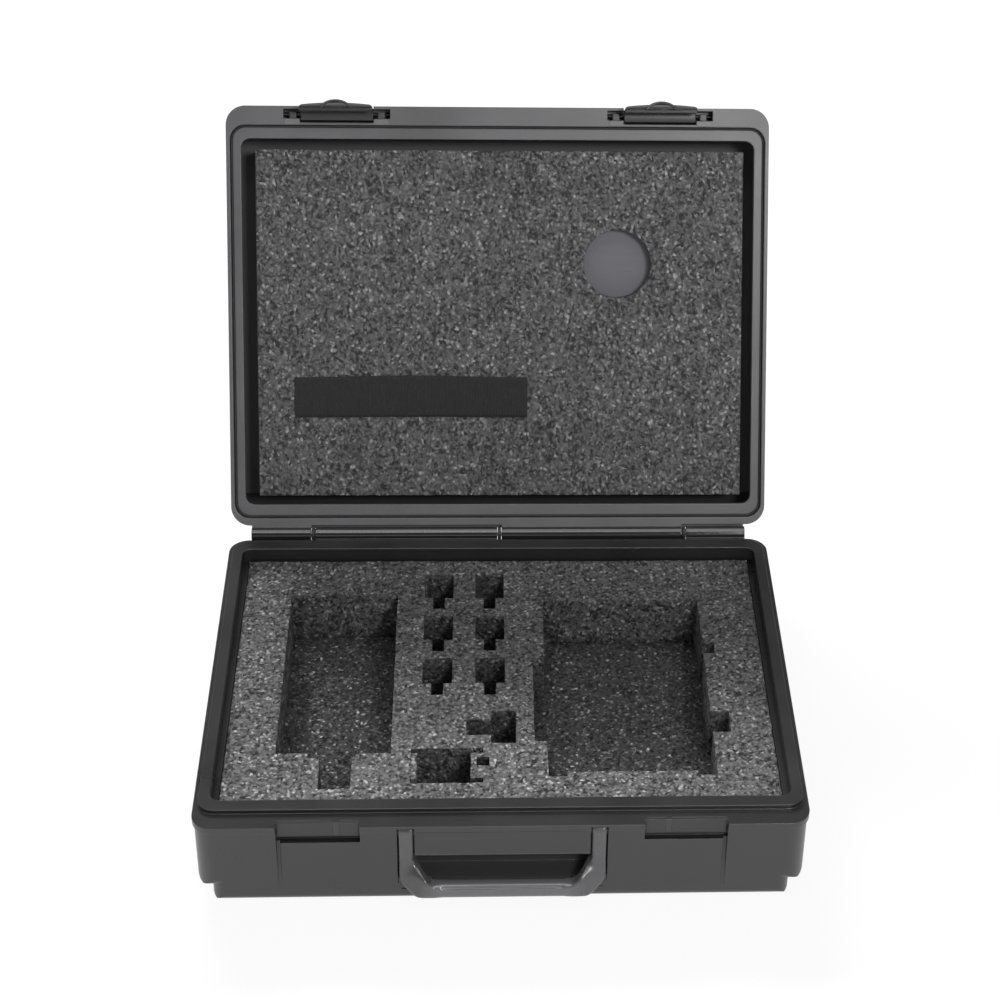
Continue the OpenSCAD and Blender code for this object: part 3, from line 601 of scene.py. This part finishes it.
# ---------------------------------------------------------------------------
# Lid shell
# A shallow moulding in the same plastic, coloured much paler as painted light for its lit inner face;
# its skirt carries the latch housings, and a soft black seal sits in a groove at the skirt's foot.
# ---------------------------------------------------------------------------
opening = math.radians(lid_joint["range_deg"][1])
opened = Matrix.Translation(hinge) @ Matrix.Rotation(-opening, 4, "X") @ Matrix.Translation(-hinge)
closed = opened.inverted()


def closed_box(node, undo=Matrix.Identity(4)):
    """The box of a lid node with the lid shut."""
    points = [undo @ closed @ v.co for v in nodes[node].data.vertices]
    return (Vector([min(p[i] for p in points) for i in range(3)]),
            Vector([max(p[i] for p in points) for i in range(3)]))


lid_high = closed_box("lid_shell")[1]
rim_z = 62.4 * mm
inner_half_x, inner_half_y = 185 * mm, 142.5 * mm
inner_back_y = 129 * mm
# Painted light: the lid's plastic is a much paler copy of the base's, standing in for the light on its inner
# face.
lid_painted_light_charcoal = (0.112, 0.11, 0.115)


def closed_place(tree, at):
    """Where a point of the open lid lies when the lid is shut."""
    place = []
    for row in closed[:3]:
        place.append(sums(tree, "ADD", length_along(tree, at, tuple(row[:3])), row[3]))
    return place


def lid_knuckles(tree, at):
    return around_hinge(tree, *closed_place(tree, at)[1:])


# Painted light: the lid's inner faces behind its frame are coloured paler than the base's plastic, standing
# in for light that barely reaches the deep channel round the lining.
def inside_lid(tree, at):
    """1 on the lid's inner faces behind its frame, and 0 elsewhere."""
    x, y, z = closed_place(tree, at)
    return all_of(tree, [sums(tree, "LESS_THAN", sums(tree, "ABSOLUTE", x), inner_half_x),
                         sums(tree, "LESS_THAN", sums(tree, "ABSOLUTE", y), inner_half_y),
                         sums(tree, "GREATER_THAN", z, rim_z + 4.2 * mm),
                         sums(tree, "LESS_THAN", z, lid_high.z - 1.5 * mm)])


# Painted shade: the inner faces near the hinge are darkened, where shade falls deep in the channel by the
# hinge.
def inside_lid_back(tree, at):
    """1 on those inner faces that lie near the hinge, and 0 elsewhere."""
    y = closed_place(tree, at)[1]
    return sums(tree, "MULTIPLY", inside_lid(tree, at), sums(tree, "GREATER_THAN", y, inner_back_y))


def outside_lid(tree, at):
    """Rises from 0 to 0.8 over the last millimetres before the lid's outer face."""
    z = closed_place(tree, at)[2]
    near = sums(tree, "MULTIPLY", sums(tree, "SUBTRACT", z, lid_high.z - 5 * mm), 1 / (4 * mm), True)
    return sums(tree, "MULTIPLY", near, 0.8)


lid_plastic = moulded("lid_plastic", lid_painted_light_charcoal, rough=0.36, rubbed=1.5, shine=0.65,
                      areas=[(outside_lid, (0.017, 0.0165, 0.0175), 0.35),
                             (inside_lid, (0.082, 0.079, 0.082), 0.6),
                             (inside_lid_back, (0.014, 0.0135, 0.014), 0.75),
                             (lid_knuckles, knuckle_black, 0.1)])
dress(lid_plastic, "lid_shell")

# The rib along the lid's back keeps dust out of the hinge.
rib_root, rib_tip, rib_low, rib_high = 147.2 * mm, 150.2 * mm, 67.4 * mm, 69.2 * mm
rib_end = 0.5 * mm
rib_loops = []
for x, cut in ((rod_low.x, rib_end), (rod_low.x + rib_end, 0),
               (rod_high.x - rib_end, 0), (rod_high.x, rib_end)):
    rib_loops.append([Vector((x, rib_root, rib_low)), Vector((x, rib_tip - cut, rib_low + cut)),
                      Vector((x, rib_tip - cut, rib_high - cut)), Vector((x, rib_root, rib_high))])
rib = skin_of("hinge_cover_rib", rib_loops, place=opened)
crisp(rib, rib_end)
rib.data.materials.append(lid_plastic)
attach(rib, "lid")

# A soft black seal lies in the groove at the foot of the skirt. Its section
# is in mm, inwards from the skirt and upwards from the groove's mouth.
seal_half, seal_front, seal_back, seal_corner = 187.4 * mm, -134.4 * mm, 142.4 * mm, 10.9 * mm
groove_mouth = rim_z + 3 * mm
seal_section = [(0.15, 2.9), (0.15, 0.7), (0.45, 0.2), (1.35, 0.2), (1.65, 0.7), (1.65, 2.9)]
seal_loops = []
for inwards, upwards in seal_section:
    i, z = inwards * mm, groove_mouth + upwards * mm
    seal_loops.append(rounded_outline(seal_half - i, seal_front + i, seal_back - i, seal_corner - i, z, 10))
seal = skin_of("lid_seal", seal_loops, ends=False, place=opened)
seal.data.materials.append(moulded("black_rubber", (0.03, 0.029, 0.03), rough=0.6, grain=0.3, rubbed=1.3,
                                   edge=0.3 * mm))
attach(seal, "lid")

# ---------------------------------------------------------------------------
# Lining of the lid
# A die-cut face pad on a thin purplish board, backed by a thick foam slab:
# all push-fitted into the lid, with one round opening through the face pad.
# ---------------------------------------------------------------------------
lining_low, lining_high = closed_box("lid_foam_pad")
back_low, back_high = closed_box("lid_foam_backer")
bore_d = 47.5 * mm
bore_x = 83.8 * mm
bore_from_hinge = 192.3 * mm
pad_shift, pad_past_front, pad_past_back = 1.2 * mm, 1 * mm, 2.4 * mm
lining = foam("lining_foam", 0.03, 0.128, 0.285, 0.48, stroke=(270, 560))
# The pads are made face up, so they are turned over on their way into the lid.
flip = Matrix.Diagonal((1, 1, -1, 1))
face_low = Vector((lining_low.x + pad_shift, lining_low.y - pad_past_front, -lining_high.z))
face_high = Vector((lining_high.x + pad_shift, lining_high.y + pad_past_back, -lining_low.z))
face_pad = foam_block("lid_face_pad", face_low, face_high, place=opened @ flip, sag=foam_sag,
                      bore=(bore_x, hinge.y - bore_from_hinge, bore_d / 2))
face_pad.data.flip_normals()
face_pad.data.materials.append(lining)
backer = foam_block("lid_backer_slab", Vector((back_low.x, back_low.y, -back_high.z)),
                    Vector((back_high.x, back_high.y, -back_low.z)), step=5 * mm, place=opened @ flip)
backer.data.flip_normals()
backer.data.materials.append(plain_foam)
for piece, node, slot in ((face_pad, "lid_foam_pad", "lining_foam"), (backer, "lid_foam_backer", "pad_foam")):
    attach(piece, "lid")
    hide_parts(node)


def board_finish(name, colour):
    """Smooth rolled sheet with faint streaks and dust."""
    made, tree, skin, at = finish_of(name)
    streaks = speckle(tree, stretched(tree, at, (18, 160, 160)), 1.0, 4)
    dust = speckle(tree, at, 900, 2)
    tone = shades(tree, streaks, [(0.3, lit(colour, 0.9)), (0.7, lit(colour, 1.1))])
    tone = blended(tree, shades(tree, dust, [(0.6, 0.0), (0.75, 0.3)]), tone, lit(colour, 1.5))
    tree.links.new(tone, skin.inputs["Base Color"])
    tree.links.new(shades(tree, streaks, [(0.3, 0.42), (0.7, 0.55)]), skin.inputs["Roughness"])
    bumped(tree, skin, dust, 0.12, 0.08 * mm)
    return made


dress(board_finish("board_sheet", (0.144, 0.14, 0.16)), "lid_backing_board")

# ---------------------------------------------------------------------------
# Elastic strap
# Ribbed black elastic stretched flat across the lining; both ends dive
# through slits and are clamped behind the board by small steel bars.
# ---------------------------------------------------------------------------
strap_low, strap_high = closed_box("elastic_strap")
strap_t = 1.5 * mm
strap_bend = 1.6 * mm
strap_tail = 12 * mm
# The edges bow the same way; the upper one by this share of the lower one.
strap_bow, upper_share = 1.3 * mm, 0.35
strap_inset, strap_wave = 0.25 * mm, 0.25 * mm
rib_pitch, rib_h = 2.1 * mm, 0.22 * mm
thinned_from, thinned_by = 0.9, 0.27 * mm
bend_steps = 5
across_steps = 12
strap_y = (strap_low.y + strap_high.y) / 2
strap_half = (strap_high.y - strap_low.y) / 2 - 0.2 * mm
strap_face = strap_low.z + strap_t / 2
strap_back = strap_high.z - strap_t / 2


def strap_line():
    """The strap's middle line in x and z with the lid shut, from one clamped end to the other."""
    x0, x1 = strap_low.x + strap_t / 2, strap_high.x - strap_t / 2
    r = strap_bend
    quarter = [math.pi / 2 * i / bend_steps for i in range(bend_steps + 1)]
    dive = [(x0 + strap_tail - strap_t / 2, strap_back), (x0 + r, strap_back)]
    dive += [(x0 + r - r * math.sin(a), strap_back - r + r * math.cos(a)) for a in quarter[1:]]
    dive += [(x0 + r - r * math.cos(a), strap_face + r - r * math.sin(a)) for a in quarter]
    span = x1 - x0 - 2 * r
    count = round(span / (rib_pitch / 4))
    flat = [(x0 + r + span * i / count, strap_face) for i in range(1, count)]
    return dive + flat + [(x0 + x1 - x, z) for x, z in dive[::-1]]


middle = strap_line()
loops = []
run = 0.0
for n, (x, z) in enumerate(middle):
    before, after = middle[max(n - 1, 0)], middle[min(n + 1, len(middle) - 1)]
    along = Vector((after[0] - before[0], 0, after[1] - before[1])).normalized()
    out = Vector((along.z, 0, -along.x))
    run += math.dist(before, (x, z)) if n else 0
    ridge = rib_h * math.sin(2 * math.pi * run / rib_pitch)
    part = (x - strap_low.x) / (strap_high.x - strap_low.x)
    bow = -strap_bow * math.sin(math.pi * part) ** 2 if abs(z - strap_face) < 0.5 * mm else 0
    loop = []
    for side, reach in ((1, 1), (-1, -1)):
        for k in range(across_steps + 1):
            v = reach * (-1 + 2 * k / across_steps)
            thinned = thinned_by * max(0, abs(v) - thinned_from) / (1 - thinned_from)
            lift = side * (strap_t / 2 - strap_inset + ridge - thinned)
            wave = strap_wave * noise.noise(Vector((x * 60, v * 2, 0)))
            y = strap_y + v * strap_half + (bow if v < 0 else bow * upper_share) * abs(v)
            loop.append(opened @ (Vector((x, y, z)) + out * (lift + wave)))
    loops.append(loop)
strap = skin_of("ribbed_strap", loops)


def elastic(name, colour):
    """Knitted elastic: cords across the strap and fine threads along it."""
    made, tree, skin, at = finish_of(name)
    threads = speckle(tree, stretched(tree, at, (1500, 350, 350)), 1.0, 2)
    lint = speckle(tree, at, 500, 3)
    tone = shades(tree, threads, [(0.3, lit(colour, 0.5)), (0.7, lit(colour, 1.6))])
    tone = blended(tree, shades(tree, lint, [(0.62, 0.0), (0.72, 0.6)]), tone, lit(colour, 4.0))
    tree.links.new(tone, skin.inputs["Base Color"])
    skin.inputs["Roughness"].default_value = 0.8
    skin.inputs["Sheen Weight"].default_value = 0.25
    skin.inputs["Sheen Roughness"].default_value = 0.4
    bumped(tree, skin, threads, 0.5, 0.15 * mm)
    return made


strap.data.materials.append(elastic("black_elastic", (0.011, 0.0105, 0.011)))
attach(strap, "lid")
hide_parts("elastic_strap")
dress(wire, "strap_clamp_left", "strap_clamp_right")

# ---------------------------------------------------------------------------
# Latches
# Two black levers on steel pins in the lid's skirt, each with a crowned face,
# a hook along its end and a domed thumb tab with a raised rim.
# ---------------------------------------------------------------------------
satin_black = (0.034, 0.034, 0.036)
lever_finish = moulded("latch_plastic", satin_black, rough=0.3, grain=0.15, rubbed=2.2, edge=0.3 * mm)
block_grey = moulded("block_plastic", (0.09, 0.088, 0.092), rough=0.35, grain=0.15, rubbed=1.6, edge=0.3 * mm)
pale_grey = moulded("pad_plastic", (0.17, 0.168, 0.172), rough=0.35, grain=0.15, rubbed=1.3, edge=0.2 * mm)
latch_x = 113 * mm
lever_half = 25 * mm
lever_t = 2.8 * mm
eye_r = 4.5 * mm
# Outlines in mm, inwards and upwards: the toe from the lever's front, the heel
# from the pin, and the hook with the groove beside it from the lever's back.
toe = [(0.5, 0), (0.1, 0.3), (0, 1.2)]
heel = [(5.2, -4.6), (4.7, -5.7), (3.6, -6.2)]
hook = [(0, 2.8), (0, 2.2), (1.6, 1.8), (1.6, 0.3), (1.3, 0), (-0.2, 0), (-0.4, 0.8), (-1.0, 0.8), (-1.2, 0)]
crown, end_drop = 1.5 * mm, 0.7 * mm
end_from = 0.94
tab_half, tab_rise, tab_out = 12.4 * mm, 9.2 * mm, 3.6 * mm
# The tab's size and its height in mm, from its inner end over the raised rim into the dish.
tab_profile = [(0.97, 3.6), (1, 3.3), (1, -0.1), (0.97, -0.4), (0.87, -0.5),
               (0.83, -0.2), (0.81, 0.6), (0.58, 1.0), (0.55, 0.5), (0.42, 0.4)]
tab_steps = 40
half_stations = 24
socket_mid, socket_half = 30.85 * mm, 5.25 * mm
# Each pin runs into a small block at either end of its socket.
block_half, block_edge = 2.6 * mm, 0.5 * mm
block_half_y, block_half_z = 2.4 * mm, 2.2 * mm
block_back, block_drop = 0.6 * mm, 1.2 * mm
# A thin pad on the rim beside each block takes the lid's weight.
pad_half, pad_front, pad_back = socket_half - 0.2 * mm, -138.5 * mm, -134.9 * mm
pad_proud, pad_edge, pad_root = 0.25 * mm, 0.2 * mm, 0.4 * mm


def lever_loop(x, axis, face, foot):
    """A cross-section of a lever: crowned face, eye round the pin, back, hook and a groove along its end."""
    side = abs(x) / lever_half
    bow = crown * (1 - side ** 2)
    back = face + lever_t
    front = face - bow + end_drop * max(0, side - end_from) / (1 - end_from)
    points = [(front + y * mm, foot + z * mm) for y, z in toe]
    points += [(front + (face - front) * 0.3 * k / 3, foot + (axis.z - foot) * k / 4) for k in (1, 2, 3)]
    points += [(axis.y + eye_r * math.cos(a), axis.z + eye_r * math.sin(a))
               for a in [math.radians(178 - 16 * k) for k in range(12)]]
    points += [(axis.y + y * mm, axis.z + z * mm) for y, z in heel]
    points += [(back, points[-1][1])] + [(back + y * mm, foot + z * mm) for y, z in hook]
    return [Vector((x, y, z)) for y, z in points]


def tab_loop(scale, z, face):
    """The thumb tab's outline at one height: part of an ellipse, closed by a straight foot in the lever."""
    middle_y = face - tab_out + tab_rise
    start = math.asin((middle_y - face - lever_t + 0.4 * mm) / (tab_rise * scale))
    return [Vector((scale * tab_half * math.cos(a), middle_y - scale * tab_rise * math.sin(a), z))
            for a in [start + (math.pi - 2 * start) * k / tab_steps for k in range(tab_steps + 1)]]


for side, way in (("left", -1), ("right", 1)):
    joint = next(j for j in frame["joints"] if j["name"] == side + "_latch_hinge")
    axis = closed @ Vector(joint["pos_m"])
    body = joint["child"]
    stand_off = math.radians(joint["range_deg"][1])
    upright = Matrix.Translation(axis) @ Matrix.Rotation(stand_off, 4, "X") @ Matrix.Translation(-axis)
    low, high = closed_box("latch_lever_" + side, upright)
    face, foot = low.y + tab_out, low.z
    placed = opened @ upright.inverted() @ Matrix.Translation((way * latch_x, 0, 0))
    stations = [lever_half * math.sin(math.pi / 2 * k / half_stations)
                for k in range(-half_stations, half_stations + 1)]
    lever = skin_of("lever_" + side, [lever_loop(x, axis, face, foot) for x in stations], place=placed)
    crisp(lever, 0.25 * mm, 40)
    tab = skin_of("thumb_tab_" + side, [tab_loop(scale, foot + z * mm, face) for scale, z in tab_profile],
                  place=placed)
    for piece in (lever, tab):
        piece.data.materials.append(lever_finish)
        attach(piece, body)
    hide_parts("latch_lever_" + side)
    for end in (-1, 1):
        x = way * latch_x + end * socket_mid
        which = side + ("_a" if end < 0 else "_b")
        mid_y, mid_z = axis.y + block_back, axis.z - block_drop
        rings = []
        for dx, cut in ((-block_half, block_edge), (block_edge - block_half, 0), (block_half - block_edge, 0),
                        (block_half, block_edge)):
            rings.append([Vector((x + dx, mid_y + u * (block_half_y - cut), mid_z + v * (block_half_z - cut)))
                          for u, v in ((-1, -1), (1, -1), (1, 1), (-1, 1))])
        block = skin_of("pin_block_" + which, rings, place=opened)
        crisp(block, 0.4 * mm)
        block.data.materials.append(block_grey)
        rings = []
        for cut, drop in ((0, -pad_root), (0, pad_proud - 0.15 * mm), (pad_edge, pad_proud)):
            rings.append([Vector((x + u * (pad_half - cut), y, rim_z - drop))
                          for u, y in ((-1, pad_front + cut), (1, pad_front + cut),
                                       (1, pad_back - cut), (-1, pad_back - cut))])
        pad = skin_of("rest_pad_" + which, rings, place=opened)
        crisp(pad, 0.1 * mm)
        pad.data.materials.append(pale_grey)
        for piece in (block, pad):
            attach(piece, "lid")
dress(wire, "latch_pin_left", "latch_pin_right")

# ---------------------------------------------------------------------------
# Studio
# A white floor that keeps the object's shadow, a bright surround with a dark
# ceiling, a soft lamp at the front, another behind and a narrow one overhead.
# ---------------------------------------------------------------------------
floor_half = 12
own_light = 0.92
floor_mesh = bpy.data.meshes.new("floor")
bm = bmesh.new()
bmesh.ops.create_grid(bm, x_segments=8, y_segments=8, size=floor_half)
bm.to_mesh(floor_mesh)
bm.free()
floor = bpy.data.objects.new("floor", floor_mesh)
bpy.context.scene.collection.objects.link(floor)
floor_mat, tree, skin, at = finish_of("floor_white")
skin.inputs["Base Color"].default_value = (0.9, 0.9, 0.9, 1)
skin.inputs["Roughness"].default_value = 0.9
seen = add(tree, "ShaderNodeLightPath").outputs
white = add(tree, "ShaderNodeEmission", {"Color": (1, 1, 1, 1), "Strength": 1.0})
direct = sums(tree, "MAXIMUM", seen["Is Camera Ray"], seen["Is Glossy Ray"])
share = sums(tree, "MULTIPLY", direct, own_light)
both = add(tree, "ShaderNodeMixShader", {0: share, 1: skin.outputs["BSDF"], 2: white.outputs["Emission"]})
tree.links.new(both.outputs["Shader"], tree.nodes["Material Output"].inputs["Surface"])
floor_mesh.materials.append(floor_mat)

world = bpy.data.worlds.new("studio")
bpy.context.scene.world = world
world.use_nodes = True
tree = world.node_tree
tree.nodes.clear()
seen = add(tree, "ShaderNodeLightPath").outputs
white = add(tree, "ShaderNodeBackground", {"Color": (1, 1, 1, 1), "Strength": 1.0})
soft = add(tree, "ShaderNodeBackground", {"Color": (1, 1, 1, 1), "Strength": 0.28})
up = split(tree, add(tree, "ShaderNodeTexCoord").outputs["Generated"])["Z"]
ceiling = shades(tree, up, [(0.25, 0.4), (0.5, 0.04), (0.82, 0.04), (0.9, 1.0)])
above = add(tree, "ShaderNodeBackground", {"Color": ceiling, "Strength": 2.5})
shown = add(tree, "ShaderNodeMixShader", {0: seen["Is Glossy Ray"], 1: white.outputs["Background"],
                                          2: above.outputs["Background"]})
direct = sums(tree, "MAXIMUM", seen["Is Camera Ray"],
              sums(tree, "MAXIMUM", seen["Is Glossy Ray"], seen["Is Transmission Ray"]))
both = add(tree, "ShaderNodeMixShader", {0: direct, 1: soft.outputs["Background"],
                                         2: shown.outputs["Shader"]})
tree.links.new(both.outputs["Shader"], add(tree, "ShaderNodeOutputWorld").inputs["Surface"])


def lamp(name, place, aim, size, power, mirrored=True):
    """A soft rectangular lamp that looks at its aim; shiny faces mirror it or they don't."""
    data = bpy.data.lights.new(name, "AREA")
    data.shape = "RECTANGLE"
    data.size, data.size_y = size
    data.energy = power
    made = bpy.data.objects.new(name, data)
    made.location = place
    made.visible_glossy = mirrored
    made.rotation_euler = (Vector(aim) - Vector(place)).to_track_quat("-Z", "Y").to_euler()
    bpy.context.scene.collection.objects.link(made)


lamp("key", (0.75, -1.75, 1.65), (0, 0.1, 0.15), (0.5, 0.4), 20)
lamp("back", (-0.45, 1.7, 1.52), (0, 0, 0.05), (1.2, 0.35), 96, mirrored=False)
lamp("strip", (0, -0.4, 2.0), (0, 0.05, 0.05), (1.6, 0.08), 3)

# The camera looks down on the open case. The render is 1000 pixels square, and
# the lens axis meets it to the right of the middle.
render_px, film = 1000, 36
focal_length = 2373.7
axis_across, axis_down = 613.4, 477.1
eye = Vector((-0.0125, -1.2148, 1.0679))
yaw, pitch, roll = math.radians(3.87), math.radians(34.88), math.radians(-2.11)
forward = Vector((math.sin(yaw) * math.cos(pitch), math.cos(yaw) * math.cos(pitch), -math.sin(pitch)))
level = Vector((math.cos(yaw), -math.sin(yaw), 0))
down = forward.cross(level)
image_right = math.cos(roll) * level + math.sin(roll) * down
image_down = forward.cross(image_right)
cam_data = bpy.data.cameras.new("camera")
cam_data.lens = focal_length / render_px * film
cam_data.sensor_width = film
cam_data.shift_x = (render_px / 2 - axis_across) / render_px
cam_data.shift_y = (axis_down - render_px / 2) / render_px
cam_data.clip_start, cam_data.clip_end = 0.05, 60
cam = bpy.data.objects.new("camera", cam_data)
turn = Matrix((image_right, -image_down, -forward)).transposed().to_4x4()
cam.matrix_world = Matrix.Translation(eye) @ turn
bpy.context.scene.collection.objects.link(cam)
bpy.context.scene.camera = cam
bpy.context.scene.view_settings.view_transform = "Standard"
